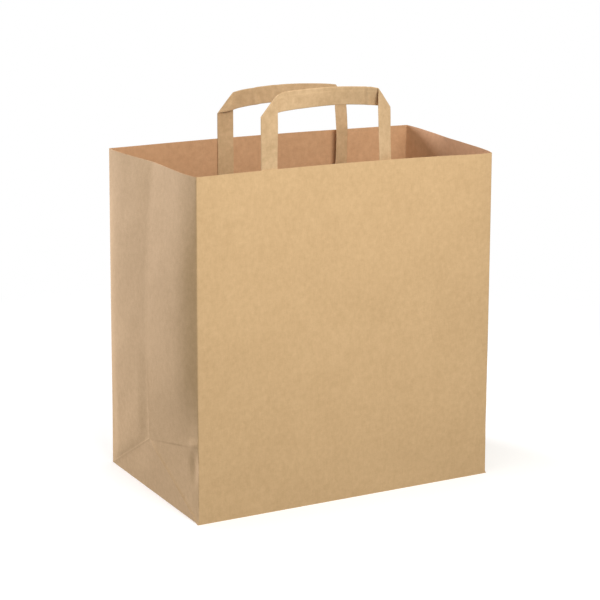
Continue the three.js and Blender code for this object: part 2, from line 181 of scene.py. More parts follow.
def half_gusset_out(share, fold_out, swell, row, z):
    """A half of the gusset, from its middle fold (0) to the corner (1). It swells out between the
    two, most near the corner, and less towards the foot and the rim."""
    rise = smooth(row, TIP_HEIGHT, TIP_HEIGHT + SWELL_RISE)
    above_foot = min(row / TIP_HEIGHT, 1) * lerp(SWELL_LEFT_LOW, 1, rise)
    below_rim = lerp(1, SWELL_AT_RIM, smooth(z, BAG_HEIGHT - RIM_REACH, BAG_HEIGHT))
    swollen = (1 + CORNER_FULLNESS * share ** 3) * math.sin(math.pi * share)
    return fold_out * (1 - share) + swell * above_foot * below_rim * swollen


def kink(share, row, z):
    """The crease over the foot stands out beside the front corner, over a dent in the paper."""
    from_corner = (1 - share) * min(row / TIP_HEIGHT, 1) * BAG_DEPTH / 2
    beside = bump(from_corner, DIMPLE_FROM_CORNER, DIMPLE_WIDTH)
    dent = DIMPLE * smooth(z, *DIMPLE_RISE) * (1 - smooth(z, *DIMPLE_FALL))
    return beside * (KINK_PROUD * bump(row, TIP_HEIGHT + KINK_ABOVE_TIP, KINK_HALF_HEIGHT) - dent)


def gusset_folds(height):
    """Where a row of the gusset meets the two diagonal folds, as shares from back to front."""
    to_tip = min(height / TIP_HEIGHT, 1)
    half = CREASE_WIDTH / 2 / BAG_DEPTH
    back_fold = max(CREASE_ALONG * to_tip - half, half)
    front_fold = min(1 - (1 - CREASE_ALONG) * to_tip + half, 1 - half)
    return to_tip, back_fold, front_fold


def gusset_point(side, along, z, row):
    """A point of the gusset, a share of the way from back to front. The row is named by its height
    at the back, and z is its height here: it rises towards the kink at the front."""
    back_x, back_y = corner("back_" + side, z)
    front_x, front_y = corner("front_" + side, z)
    to_tip = min(row / TIP_HEIGHT, 1)
    back_fold = CREASE_ALONG * to_tip
    front_fold = 1 - (1 - CREASE_ALONG) * to_tip
    fold_out = gusset_belly(side, TIP_HEIGHT) * to_tip if to_tip < 1 else gusset_belly(side, z)
    if along < back_fold:
        out = half_gusset_out(1 - along / back_fold, fold_out, BACK_SWELL, row, z)
    elif along <= front_fold:
        out = fold_out
    else:
        share = (along - front_fold) / (1 - front_fold)
        out = half_gusset_out(share, fold_out, FRONT_SWELL, row, z) + kink(share, row, z)
    # Above the back diagonal fold the paper swells out like the edge of a pillow
    above_fold = (z - TIP_HEIGHT * along / CREASE_ALONG) * math.sin(math.radians(PILLOW_SLOPE))
    if along < CREASE_ALONG and above_fold > 0:
        swell = 1 - math.exp(-above_fold / PILLOW_REACH)
        fade = smooth(along, 0, PILLOW_START) * (1 - smooth(along, PILLOW_END, CREASE_ALONG))
        out += PILLOW * swell * fade * (1 - smooth(z, *PILLOW_FALL))
    # The pressed folds stand a little proud, and the paper between them has slow waves
    fold_gap = min(abs(along - back_fold), abs(along - front_fold)) * BAG_DEPTH
    on_diagonal = smooth(TIP_HEIGHT - row, 0, DIAGONAL_FADE)
    proud = FOLD_PROUD + (BACK_DIAGONAL_PROUD * on_diagonal if along < CREASE_ALONG else 0)
    out += proud * bump(fold_gap, 0, FOLD_HALF_WIDTH)
    if along > CREASE_ALONG:
        out += FRONT_DIAGONAL_PROUD * on_diagonal * bump(fold_gap, 0, FRONT_DIAGONAL_HALF_WIDTH)
    from_corner = min(along, 1 - along) * BAG_DEPTH
    calm = smooth(from_corner, 0, GUSSET_CALM) * smooth(z, 0, GUSSET_CALM_FOOT)
    for high, length in GUSSET_WAVES:
        out += calm * high * waves(WAVE_PLACE[side], along * BAG_DEPTH, z, length)
    outward = -1 if side == "left" else 1
    height = raised("back_" + side, "front_" + side, along, z)
    return Vector((lerp(back_x, front_x, along) + outward * out, lerp(back_y, front_y, along), height))


# How finely the paper is divided between two folds, and how close to a fold the first line lies
FLANK_STEPS = 30
TRIANGLE_STEPS = 36
PANEL_STEPS = 54
ROUNDING = 0.6
WIDEST_EDGE_SHARE = 0.08

# The glued seam on the back panel, and the run in which the paper steps over its own edge
SEAM_INSET = 12
SEAM_WIDTH = 20
SEAM_STEP_RUN = 0.3


def steps(length, count):
    """Shares from 0 to below 1, with two short steps at both ends to hold a crisp fold."""
    edge = min(ROUNDING / length, WIDEST_EDGE_SHARE)
    inner = [lerp(3 * edge, 1 - 3 * edge, i / count) for i in range(count + 1)]
    return [0, edge] + inner + [1 - edge]


def gusset_row(height):
    """A row of the gusset from back to front, as shares and heights, and its height at the front."""
    to_tip, back_fold, front_fold = gusset_folds(height)
    if height < TIP_HEIGHT:
        lift = (KINK_HEIGHT - TIP_HEIGHT) * to_tip * to_tip
    else:
        lift = (KINK_HEIGHT - TIP_HEIGHT) * max(0, 1 - (height - TIP_HEIGHT) / KINK_FADE)
    row = [(back_fold * s, height) for s in steps(BAG_DEPTH / 2, FLANK_STEPS)]
    for s in steps((front_fold - back_fold) * BAG_DEPTH, TRIANGLE_STEPS):
        row.append((lerp(back_fold, front_fold, s), height))
    for s in steps(BAG_DEPTH / 2, FLANK_STEPS):
        row.append((lerp(front_fold, 1, s), height + lift * s))
    return row, height + lift


def body_ring(height, seam_step):
    """One ring round the bag from the front left corner, counter-clockwise seen from above."""
    row, front_height = gusset_row(height)
    ring = []
    left_x, _ = corner("front_left", front_height)
    right_x, _ = corner("front_right", front_height)
    for share in steps(BAG_WIDTH, PANEL_STEPS):
        x = lerp(left_x, right_x, share)
        z = raised("front_left", "front_right", share, front_height)
        ring.append(Vector((x, panel_y("front", x, front_height), z)))
    ring.append(gusset_point("right", 1, front_height, height))
    ring += [gusset_point("right", along, z, height) for along, z in reversed(row)]
    right_x, _ = corner("back_right", height)
    left_x, _ = corner("back_left", height)
    width = right_x - left_x
    seam_end = SEAM_INSET + SEAM_WIDTH
    seam = [SEAM_INSET, SEAM_INSET + SEAM_STEP_RUN, seam_end, seam_end + SEAM_STEP_RUN]
    distances = [share * width for share in steps(BAG_WIDTH, PANEL_STEPS)[1:]]
    distances = sorted(distances + seam)
    for distance in distances:
        x = right_x - distance
        on_seam = SEAM_INSET < distance < seam_end + SEAM_STEP_RUN / 2
        y = panel_y("back", x, height) + (seam_step if on_seam else 0)
        ring.append(Vector((x, y, raised("back_right", "back_left", distance / width, height))))
    ring += [gusset_point("left", along, z, height) for along, z in row]
    return ring


# Turns are told by the cosine between two steps. A sharp one is rounded: its point keeps only
# CORNER_SHARE of its own place.
TIGHTEST_TURN = -0.5
SHARP_TURN = 0.9
CORNER_SHARE = 0.4
SHORTEST = 1e-6


def inset(ring, distance):
    """The ring moved inwards, seen from above, by the paper's thickness."""
    count = len(ring)
    moved = []
    for i, point in enumerate(ring):
        before = point - ring[i - 1]
        after = ring[(i + 1) % count] - point
        n1 = Vector((before.y, -before.x)).normalized()
        n2 = Vector((after.y, -after.x)).normalized()
        shift = (n1 + n2) * (distance / (1 + max(n1.dot(n2), TIGHTEST_TURN)))
        moved.append(Vector((point.x - shift.x, point.y - shift.y, point.z)))
    return moved


def soften_corners(ring):
    """Rounds each sharp turn of the ring by drawing its point towards its neighbours."""
    count = len(ring)
    softened = list(ring)
    for i, point in enumerate(ring):
        before = (point - ring[i - 1]).xy
        after = (ring[(i + 1) % count] - point).xy
        if min(before.length, after.length) <= SHORTEST:
            continue
        if before.normalized().dot(after.normalized()) < SHARP_TURN:
            neighbours = ring[i - 1] + ring[(i + 1) % count]
            softened[i] = point * CORNER_SHARE + neighbours * ((1 - CORNER_SHARE) / 2)
    return softened


SHARP_EDGE = 52


def new_piece(name, points, faces):
    """A mesh object with smooth faces, sharp where the paper turns by more than SHARP_EDGE."""
    mesh = bpy.data.meshes.new(name)
    mesh.from_pydata([point * MM for point in points], [], faces)
    mesh.polygons.foreach_set("use_smooth", [True] * len(mesh.polygons))
    mesh.set_sharp_from_angle(angle=math.radians(SHARP_EDGE))
    mesh.update()
    piece = bpy.data.objects.new(name, mesh)
    bpy.context.scene.collection.objects.link(piece)
    return piece


def stitch(faces, lower, upper):
    """Faces between two closed rings of vertex numbers."""
    count = len(lower)
    for i in range(count):
        j = (i + 1) % count
        faces.append((lower[i], lower[j], upper[j], upper[i]))


def add_ring(points, ring):
    """Adds a ring or a row of points, and gives back their numbers."""
    start = len(points)
    points.extend(ring)
    return list(range(start, start + len(ring)))


def add_sheet(points, faces, near, far):
    """A closed thin sheet between two grids of points with the same rows and columns."""
    rows, columns = len(near), len(near[0])
    front = [add_ring(points, row) for row in near]
    back = [add_ring(points, row) for row in far]
    for r in range(rows - 1):
        for c in range(columns - 1):
            faces.append((front[r][c], front[r][c + 1], front[r + 1][c + 1], front[r + 1][c]))
            faces.append((back[r][c], back[r + 1][c], back[r + 1][c + 1], back[r][c + 1]))
        faces.append((back[r][0], front[r][0], front[r + 1][0], back[r + 1][0]))
        faces.append((front[r][-1], back[r][-1], back[r + 1][-1], front[r + 1][-1]))
    for c in range(columns - 1):
        faces.append((back[0][c], back[0][c + 1], front[0][c + 1], front[0][c]))
        faces.append((front[-1][c], front[-1][c + 1], back[-1][c + 1], back[-1][c]))


# Rows of the bag's paper, closer together at the foot and at the triangle's tip
FOOT_HEIGHTS = [0, 0.5, 1.2, 2.5, 4.5, 7, 10, 13.5, 17, 21, 25, 29, 33, 37, 41, 45, 48.5, 50.6, 51.5]
WALL_ROWS = 96
heights = FOOT_HEIGHTS + [TIP_HEIGHT, TIP_HEIGHT + 0.6, TIP_HEIGHT + 1.6]
heights += [lerp(TIP_HEIGHT + 3, BAG_HEIGHT, i / WALL_ROWS) for i in range(WALL_ROWS + 1)]
inner_faces = (len(heights) - 1) * len(body_ring(0, 0))

bag_points = []
bag_faces = []
outer_rings = [add_ring(bag_points, soften_corners(body_ring(h, PAPER))) for h in heights]
inner_rings = [add_ring(bag_points, soften_corners(inset(body_ring(h, 0), PAPER))) for h in heights]
for low, high in zip(outer_rings, outer_rings[1:]):
    stitch(bag_faces, low, high)
for low, high in zip(inner_rings, inner_rings[1:]):
    stitch(bag_faces, high, low)
stitch(bag_faces, outer_rings[-1], inner_rings[-1])
stitch(bag_faces, inner_rings[0], outer_rings[0])

# The block bottom: two gusset ends tucked in, and two mitred flaps that overlap under them
BOTTOM_OVERLAP = 30
FLAP_REACH = (BAG_DEPTH + BOTTOM_OVERLAP) / 2
FLAP_PAPER = 0.32
FLAP_STEP = (17, 23)
FLAP_ROWS = 30
FLAP_COLUMNS = 48
TUCK_ROWS = 24
TUCK_COLUMNS = 30
TUCK_EASE = 8
RIPPLE = 0.06
RIPPLE_LENGTH = 30
RIPPLE_PLACE = 5


def flap_grid(side, raised_by):
    """A mitred flap, as rows from the panel's foot to its free edge. The back flap steps up over
    the front one."""
    rows = []
    inward = 1 if side == "front" else -1
    left_x, left_y = corner(side + "_left", 0)
    right_x, right_y = corner(side + "_right", 0)
    for r in range(FLAP_ROWS + 1):
        reach = lerp(PAPER / 2, FLAP_REACH, r / FLAP_ROWS)
        row = []
        for c in range(FLAP_COLUMNS + 1):
            along = c / FLAP_COLUMNS
            x = lerp(left_x + reach, right_x - reach, along)
            y = lerp(left_y, right_y, along) + inward * reach
            z = raised_by + (PAPER * (1 - smooth(y, *FLAP_STEP)) if side == "back" else 0)
            row.append(Vector((x, y, z)))
        rows.append(row if side == "front" else list(reversed(row)))
    return rows


def flap_ripple(x, y):
    return RIPPLE * (1 + waves(x, y, RIPPLE_PLACE, RIPPLE_LENGTH))


add_sheet(bag_points, bag_faces, flap_grid("front", FLAP_PAPER), flap_grid("front", 0))
add_sheet(bag_points, bag_faces, flap_grid("back", FLAP_PAPER), flap_grid("back", 0))
for side in ("left", "right"):
    outward = -1 if side == "left" else 1
    front_x, _ = corner("front_" + side, 0)
    back_x, _ = corner("back_" + side, 0)
    low_grid = []
    high_grid = []
    for r in range(TUCK_ROWS + 1):
        reach = lerp(PAPER / 8, FLAP_REACH, r / TUCK_ROWS)
        low_row = []
        high_row = []
        for c in range(TUCK_COLUMNS + 1):
            along = c / TUCK_COLUMNS
            x = lerp(front_x, back_x, along) - outward * reach
            y = lerp(panel_y("front", x, 0) + PAPER / 4, panel_y("back", x, 0) - PAPER / 4, along)
            z = 2 * PAPER + flap_ripple(x, y) * smooth(reach, 0, TUCK_EASE)
            low_row.append(Vector((x, y, z)))
            high_row.append(Vector((x, y, z + FLAP_PAPER)))
        low_grid.append(low_row if side == "right" else list(reversed(low_row)))
        high_grid.append(high_row if side == "right" else list(reversed(high_row)))
    add_sheet(bag_points, bag_faces, high_grid, low_grid)

bag = new_piece("paper_bag", bag_points, bag_faces)

# The inside gets a darker, redder copy of the paper, with the inside's shade and warm bounce light
# painted in: the walls' inner faces, and the upper faces of the bottom's papers
inside_shade_marks = [inner_faces <= i < 2 * inner_faces for i in range(len(bag_faces))]
for i in range(2 * inner_faces, len(bag_faces)):
    face = bag.data.polygons[i]
    inside_shade_marks[i] = face.normal.z > 0.5 and face.center.z < TIP_HEIGHT * MM
bag.data.polygons.foreach_set("material_index", [int(mark) for mark in inside_shade_marks])


def kraft_paper(name, colour, streak_axis, cloudiness, blotches):
    """Brown kraft paper: cloudy pulp, short fibres, faint streaks along the web, and a soft nap."""
    material = bpy.data.materials.new(name)
    material.use_nodes = True
    nodes = material.node_tree.nodes
    links = material.node_tree.links
    shader = nodes["Principled BSDF"]
    place = nodes.new("ShaderNodeTexCoord")

    def pulp(scale, detail, stretch):
        mapping = nodes.new("ShaderNodeMapping")
        mapping.inputs["Scale"].default_value = stretch
        links.new(place.outputs["Object"], mapping.inputs["Vector"])
        cloud = nodes.new("ShaderNodeTexNoise")
        cloud.inputs["Scale"].default_value = scale
        cloud.inputs["Detail"].default_value = detail
        cloud.inputs["Roughness"].default_value = 0.6
        links.new(mapping.outputs["Vector"], cloud.inputs["Vector"])
        return cloud.outputs["Fac"]

    def weigh(value, weight, base):
        """The base plus the weight times the value."""
        node = nodes.new("ShaderNodeMath")
        node.operation = "MULTIPLY_ADD"
        links.new(value, node.inputs[0])
        node.inputs[1].default_value = weight
        if isinstance(base, float):
            node.inputs[2].default_value = base
        else:
            links.new(base, node.inputs[2])
        return node.outputs[0]

    even = (1, 1, 1)
    along = [0.12 if axis == streak_axis else 1.0 for axis in "XYZ"]
    across = [1.0 if axis == streak_axis else 0.35 for axis in "XYZ"]
    far_along = [0.03 if axis == streak_axis else 1.0 for axis in "XYZ"]
    clouds = pulp(scale=28, detail=3, stretch=even)
    mottle = pulp(scale=210, detail=4, stretch=even)
    fibres = pulp(scale=1500, detail=3, stretch=along)
    cross_fibres = pulp(scale=1100, detail=3, stretch=across)
    streaks = pulp(scale=160, detail=2, stretch=far_along)

    parts = [(clouds, cloudiness), (mottle, blotches), (fibres, 0.34), (cross_fibres, 0.24)]
    parts.append((streaks, 0.05))
    # The weights are taken off first, so that the mean tone lies halfway between dark and light
    tone = 0.5 - sum(weight for _, weight in parts) / 2
    for part, weight in parts:
        tone = weigh(part, weight, tone)
    shade = nodes.new("ShaderNodeMapRange")
    shade.inputs["From Min"].default_value = 0.2
    shade.inputs["From Max"].default_value = 0.8
    links.new(tone, shade.inputs["Value"])

    mix = nodes.new("ShaderNodeMix")
    mix.data_type = "RGBA"
    dark = [channel * factor for channel, factor in zip(colour, (0.86, 0.83, 0.79))]
    light = [channel * factor for channel, factor in zip(colour, (1.12, 1.13, 1.16))]
    mix.inputs["A"].default_value = (*dark, 1)
    mix.inputs["B"].default_value = (*light, 1)
    links.new(shade.outputs["Result"], mix.inputs["Factor"])
    links.new(mix.outputs["Result"], shader.inputs["Base Color"])

    relief = weigh(fibres, 0.5, 0.0)
    relief = weigh(cross_fibres, 0.4, relief)
    relief = weigh(mottle, 0.6, relief)
    nap = nodes.new("ShaderNodeBump")
    nap.inputs["Strength"].default_value = 0.7
    nap.inputs["Distance"].default_value = 0.0003
    links.new(relief, nap.inputs["Height"])
    links.new(nap.outputs["Normal"], shader.inputs["Normal"])

    gloss = weigh(fibres, 0.12, 0.76)
    links.new(gloss, shader.inputs["Roughness"])
    shader.inputs["Specular IOR Level"].default_value = 0.3
    return material


BAG_BROWN = (0.685, 0.47, 0.25)
# The inside's brown is a darker, redder copy of the bag's brown: painted shade and painted warm bounce
# light
BAG_INSIDE_SHADED_BROWN = (0.595, 0.355, 0.195)
bag.data.materials.append(kraft_paper("bag_kraft_paper", BAG_BROWN, "Z", 0.24, 0.55))
bag.data.materials.append(kraft_paper("bag_kraft_inside_painted_shade", BAG_INSIDE_SHADED_BROWN, "Z", 0.3, 0.7))
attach(bag, "root")
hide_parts("bag_body")

# The handles. Each is a tape of folded and glued kraft paper, turned by a diagonal fold at both top
# corners, so that its two legs run down inside a panel. Glue and a patch hold the legs there.

STRIP_WIDTH = 16.4
STRIP_THICKNESS = 0.8
LEG_LENGTH = 153
FOLD_RADIUS = 0.5
FOLD_WHOLE = 1
FOLD_FADE = 20
BEND_RUN = 5
SLANT_RUN = 40
GLUE = 0.06
TWIST_DEPTH = 20
BAND_TURN_START = 0.3
BAND_TURN_END = 0.9
LEAN_GROWTH = 1.4
TIP_ROUNDING = {"front": 1.3, "back": 0.4}
RIGHT_TIP_SHARE = 0.5
TIP_REACH = 4.5

# The patch that holds the legs: above its top edge they are free
PATCH_HEIGHT = 62
PATCH_BELOW_LEGS = 6
PATCH_MARGIN = 16

# The left leg's outer edge ends at corner_height. From there the band's lower edge climbs at
# first_rise, bends to arch_rise, arches over and comes down at last_fall. Angles are in degrees.
HANDLES = {
    "front": {
        "middle": -16.2,
        "width": 133.2,
        "corner_height": 351.2,
        "first_rise": 9.5,
        "arch_rise": 4.8,
        "last_fall": 7.3,
        "twist": 22.5,
        "lean": 3.5,
    },
    "back": {
        "middle": 23.7,
        "width": 134.6,
        "corner_height": 328,
        "first_rise": 10.6,
        "arch_rise": 7.9,
        "last_fall": 6.6,
        "twist": 24.5,
        "lean": -3.6,
    },
}


def inward(side):
    return 1 if side == "front" else -1


def inner_face(side, x, z):
    return panel_y(side, x, min(z, BAG_HEIGHT)) + inward(side) * (PAPER + GLUE)


def patch_top(handle):
    return handle["corner_height"] - LEG_LENGTH - PATCH_BELOW_LEGS + PATCH_HEIGHT


def fold_over(past):
    """Where the strip is, past a fold line: how far past it still lies, and how deep."""
    half = math.pi * FOLD_RADIUS / 2
    if past <= -half:
        return past + half - FOLD_RADIUS, 0
    if past >= half:
        return half - FOLD_RADIUS - past, 2 * FOLD_RADIUS
    angle = (past + half) / FOLD_RADIUS
    return FOLD_RADIUS * (math.sin(angle) - 1), FOLD_RADIUS * (1 - math.cos(angle))


def band_shape(handle):
    """The band's lower edge: straight where the strip is doubled, a bend, a low arch, straight."""
    rise = math.radians(handle["first_rise"])
    arch = math.radians(handle["arch_rise"])
    fall = math.radians(handle["last_fall"])
    first = STRIP_WIDTH * math.tan(math.pi / 4 + rise / 2)
    last = STRIP_WIDTH * math.tan(math.pi / 4 + fall / 2)
    bend = BEND_RUN / (rise - arch)
    doubled = first * math.cos(rise) + last * math.cos(fall)
    bend_width = bend * (math.sin(rise) - math.sin(arch))
    radius = (handle["width"] - doubled - bend_width) / (math.sin(arch) + math.sin(fall))
    whole = first + BEND_RUN + radius * (arch + fall) + last
    return rise, arch, fall, first, last, bend, radius, whole


def arc_step(radius, start, end):
    return radius * Vector((math.sin(start) - math.sin(end), math.cos(end) - math.cos(start)))


def band_edge(shape, along):
    """A point of the band's lower edge, from the left corner, and its climb there."""
    rise, arch, fall, first, last, bend, radius, whole = shape
    point = min(along, first) * Vector((math.cos(rise), math.sin(rise)))
    if along <= first:
        return point, rise
    bent = min(along - first, BEND_RUN)
    point += arc_step(bend, rise, rise - bent / bend)
    if bent < BEND_RUN:
        return point, rise - bent / bend
    arched = min(along, whole - last) - first - BEND_RUN
    point += arc_step(radius, arch, arch - arched / radius)
    ended = max(0, along - whole + last)
    point += ended * Vector((math.cos(fall), -math.sin(fall)))
    return point, -fall if ended > 0 else arch - arched / radius


def strip_middle(side, across, length):
    """The middle of the strip's thickness. The width is counted from the legs' outer edge, which
    is the band's lower edge, and the length from the left corner: it is below 0 on the left leg."""
    handle = HANDLES[side]
    shape = band_shape(handle)
    rise, _, fall, _, _, _, _, whole = shape
    end, _ = band_edge(shape, whole)
    left = handle["middle"] - handle["width"] / 2
    right = left + handle["width"]
    height = handle["corner_height"]
    first = length < whole / 2
    fold_angle = math.pi / 4 + (rise if first else fall) / 2
    beyond = length if first else whole - length
    past = math.cos(fold_angle) * beyond - math.sin(fold_angle) * across
    gone, depth = fold_over(past)
    if past > 0:
        point, climb = band_edge(shape, length)
        x = left + point.x - across * math.sin(climb)
        z = height + point.y + across * math.cos(climb)
    else:
        x = left + across if first else right - across
        z = height + length if first else height + end.y + beyond
    shift = (gone + abs(past)) * (1 - smooth(abs(past), FOLD_WHOLE, FOLD_FADE))
    x += (-1 if first else 1) * math.sin(fold_angle) * shift
    z += math.cos(fold_angle) * shift

    # The fold's tip is soft, so it is drawn in and down a little
    tip_x = left + STRIP_WIDTH if first else right - STRIP_WIDTH
    tip_z = height + STRIP_WIDTH * math.tan(fold_angle) + (0 if first else end.y)
    softness = bump(math.hypot(x - tip_x, z - tip_z), 0, TIP_REACH)
    z -= TIP_ROUNDING[side] * softness * (1 if first else RIGHT_TIP_SHARE)

    # The right leg is turned about its length and leans a little, and takes the band's end with it
    if past > 0:
        turned = smooth((x - left) / handle["width"], BAND_TURN_START, BAND_TURN_END)
        leaning = turned
    elif first:
        turned = leaning = 0
    else:
        turned = smooth(z, patch_top(handle), BAG_HEIGHT - TWIST_DEPTH)
        leaning = min(max((z - BAG_HEIGHT) / (height - BAG_HEIGHT), 0), 1) ** LEAN_GROWTH
    twist = math.radians(handle["twist"]) * turned
    if side == "front":
        from_pivot = STRIP_WIDTH - across
        x -= from_pivot * (1 - math.cos(twist))
    else:
        from_pivot = min(right - x, STRIP_WIDTH)
        x += from_pivot * (1 - math.cos(twist))
    depth += from_pivot * math.sin(twist) + handle["lean"] * leaning
    depth += wrinkles(side, x, z, past, across)
    y = inner_face(side, x, z) + inward(side) * (depth + STRIP_THICKNESS / 2)
    return Vector((x, y, z))


# Where the band is wrinkled: x, how deep and how wide
BAND_WRINKLES = {
    "front": [(-48, 0.35, 3.0), (4, 0.25, 5.0), (27.5, -1.0, 1.5), (24.0, 0.6, 1.7)],
    "back": [(-33, 3.0, 6.5), (-4, 1.0, 3.0), (1, -0.7, 2.4), (22, 0.8, 3.2), (44, -0.5, 4.0)],
}
WRINKLE_SLANT = 0.25
WRINKLE_FADE = 5
STRIP_WAVE = 0.8
STRIP_WAVE_LENGTH = 26
STRIP_WAVE_PLACE = {"front": 61, "back": 83}
STRIP_HELD_BELOW = 60


def wrinkles(side, x, z, past, across):
    """Small dents of the handled strip: soft waves, and pinches near its folds."""
    free = smooth(z, BAG_HEIGHT - STRIP_HELD_BELOW, BAG_HEIGHT)
    dent = free * STRIP_WAVE * waves(x, STRIP_WAVE_PLACE[side], z, STRIP_WAVE_LENGTH)
    if past > 0:
        slant = x + WRINKLE_SLANT * across
        for place, size, half in BAND_WRINKLES[side]:
            dent += size * bump(slant, place, half) * smooth(past, 0, WRINKLE_FADE)
    return dent


# The strip's edges are rounded, and its last ply ends before one edge on the back
FACE_STEPS = 12
EDGE_PLACES = (0.12, 0.4, 1.2)
ROUNDED_WITHIN = 0.2
ROUNDED_HEIGHT = 0.7
PLY_EDGE = 0.78
PLY_STEP = 0.03
PLY_RUN = 0.12


def strip_section():
    """The strip's closed section, as places across it and shares of half its thickness."""
    outer, inner, flat = EDGE_PLACES
    face = [outer, inner]
    face += [lerp(flat, STRIP_WIDTH - flat, i / FACE_STEPS) for i in range(FACE_STEPS + 1)]
    face += [STRIP_WIDTH - inner, STRIP_WIDTH - outer]

    def height(place):
        return ROUNDED_HEIGHT if min(place, STRIP_WIDTH - place) < ROUNDED_WITHIN else 1.0

    section = [(0.0, 0.0)] + [(place, height(place)) for place in face] + [(STRIP_WIDTH, 0.0)]
    ply = PLY_EDGE * STRIP_WIDTH
    back = sorted(face + [ply, ply + PLY_RUN])
    for place in reversed(back):
        lost = PLY_STEP if place > ply + PLY_RUN / 2 else 0
        section.append((place, -height(place) + lost / (STRIP_THICKNESS / 2)))
    return section


# How finely the strip is divided along its legs and band, and where the lines beside a fold lie
LEG_STEPS = 80
BAND_STEPS = 94
NEAR_FOLD = 2.5
FOLD_TURNS = (-0.8, -0.6, -0.45, -0.3, -0.15, 0, 0.15, 0.3, 0.45, 0.6, 0.8)
SMALL_STEP = 0.02


def strip_stations(side):
    """Lines across the strip, as length at its outer edge and slant: square at the feet, and along
    each fold."""
    shape = band_shape(HANDLES[side])
    whole = shape[-1]
    end, _ = band_edge(shape, whole)
    first_slant = math.tan(math.pi / 4 + shape[0] / 2)
    last_slant = math.tan(math.pi / 4 + shape[2] / 2)
    stations = []
    for i in range(LEG_STEPS + 1):
        length = lerp(-LEG_LENGTH, -NEAR_FOLD, i / LEG_STEPS)
        stations.append((length, first_slant * (1 - smooth(-NEAR_FOLD - length, 0, SLANT_RUN))))
    stations += [(turn * math.hypot(1, first_slant), first_slant) for turn in FOLD_TURNS]
    for i in range(BAND_STEPS + 1):
        share = i / BAND_STEPS
        length = lerp(NEAR_FOLD, whole - NEAR_FOLD, share)
        stations.append((length, lerp(first_slant, -last_slant, share)))
    stations += [(whole + turn * math.hypot(1, last_slant), -last_slant) for turn in FOLD_TURNS]
    for i in range(LEG_STEPS + 1):
        length = lerp(whole + NEAR_FOLD, whole + LEG_LENGTH + end.y, i / LEG_STEPS)
        slant = last_slant * (smooth(length - whole - NEAR_FOLD, 0, SLANT_RUN) - 1)
        stations.append((length, slant))
    return stations


def make_handle(side):
    points = []
    faces = []
    rings = []
    section = strip_section()
    for start, slope in strip_stations(side):
        ring = []
        for across, share in section:
            length = start + slope * across
            middle = strip_middle(side, across, length)
            over = strip_middle(side, across + SMALL_STEP, length + slope * SMALL_STEP)
            on = strip_middle(side, across, length + SMALL_STEP)
            normal = (on - middle).cross(over - middle).normalized() * inward(side)
            ring.append(middle + normal * (-share * STRIP_THICKNESS / 2))
        rings.append(add_ring(points, ring))
    for low, high in zip(rings, rings[1:]):
        stitch(faces, low, high)
    faces.append(tuple(reversed(rings[0])))
    faces.append(tuple(rings[-1]))
    return new_piece(side + "_paper_handle", points, faces)


# The back handle's brown is darker than the front one's: painted shade on the same paper
HANDLE_BROWN_AND_BACK_SHADE = {"front": (0.64, 0.445, 0.252), "back": (0.585, 0.405, 0.228)}
for side in ("front", "back"):
    piece = make_handle(side)
    paper = kraft_paper(side + "_handle_kraft", HANDLE_BROWN_AND_BACK_SHADE[side], "Z", 0.7, 1.0)
    piece.data.materials.append(paper)
    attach(piece, "root")
    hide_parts(side + "_handle")

# The patches. A piece of brown paper is glued over the ends of each handle's legs, inside the bag.
# It lies on the panel, steps up over the two legs, and is a little puckered by its glue.

PATCH_ROWS = 32
PATCH_COLUMNS = 120
PATCH_PAPER = 0.3
OVER_STRIP = 0.25
LEG_STEP = (0.2, 2.2)
PUCKER = 0.25
PUCKER_LENGTH = 14
PUCKER_PLACE = 7
PUCKER_FADE = 9


def make_patch(side):
    handle = HANDLES[side]
    left = handle["middle"] - handle["width"] / 2
    right = handle["middle"] + handle["width"] / 2
    low = patch_top(handle) - PATCH_HEIGHT
    legs = [(left, left + STRIP_WIDTH), (right - STRIP_WIDTH, right)]
    near = []
    far = []
    half_height = PATCH_HEIGHT / 2
    top_of_step, foot_of_step = LEG_STEP
    for r in range(PATCH_ROWS + 1):
        z = lerp(low, low + PATCH_HEIGHT, r / PATCH_ROWS)
        loose = smooth(abs(z - low - half_height), half_height, half_height - PUCKER_FADE)
        near_row = []
        far_row = []
        for c in range(PATCH_COLUMNS + 1):
            x = lerp(left - PATCH_MARGIN, right + PATCH_MARGIN, c / PATCH_COLUMNS)
            lift = 0
            for start, end in legs:
                up = smooth(x, start - foot_of_step, start - top_of_step)
                down = smooth(x, end + top_of_step, end + foot_of_step)
                lift = max(lift, up * (1 - down))
            pucker = PUCKER * max(0, waves(x, PUCKER_PLACE, z, PUCKER_LENGTH)) * loose
            depth = lift * (STRIP_THICKNESS + OVER_STRIP) + pucker * (1 - lift)
            y = inner_face(side, x, z)
            near_row.append(Vector((x, y + inward(side) * depth, z)))
            far_row.append(Vector((x, y + inward(side) * (depth + PATCH_PAPER), z)))
        near.append(near_row)
        far.append(far_row)
    points = []
    faces = []
    if side == "front":
        add_sheet(points, faces, near, far)
    else:
        add_sheet(points, faces, far, near)
    return new_piece(side + "_glued_patch", points, faces)


PATCH_BROWN = (0.55, 0.36, 0.19)
patch_paper = kraft_paper("patch_kraft_paper", PATCH_BROWN, "X", 0.3, 0.5)
for side in ("front", "back"):
    piece = make_patch(side)
    piece.data.materials.append(patch_paper)
    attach(piece, "root")
    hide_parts(side + "_handle_patch")

# The studio: a pale floor that fades into a white surround, and soft lamps.
# The floor looks white to the eye, but throws back only a little light on the bag.

FLOOR_SIZE = 16
floor_mesh = bpy.data.meshes.new("studio_floor")
half = FLOOR_SIZE / 2
floor_corners = [(-half, -half, 0), (half, -half, 0), (half, half, 0), (-half, half, 0)]
floor_mesh.from_pydata(floor_corners, [], [(0, 1, 2, 3)])
floor = bpy.data.objects.new("studio_floor", floor_mesh)
bpy.context.scene.collection.objects.link(floor)

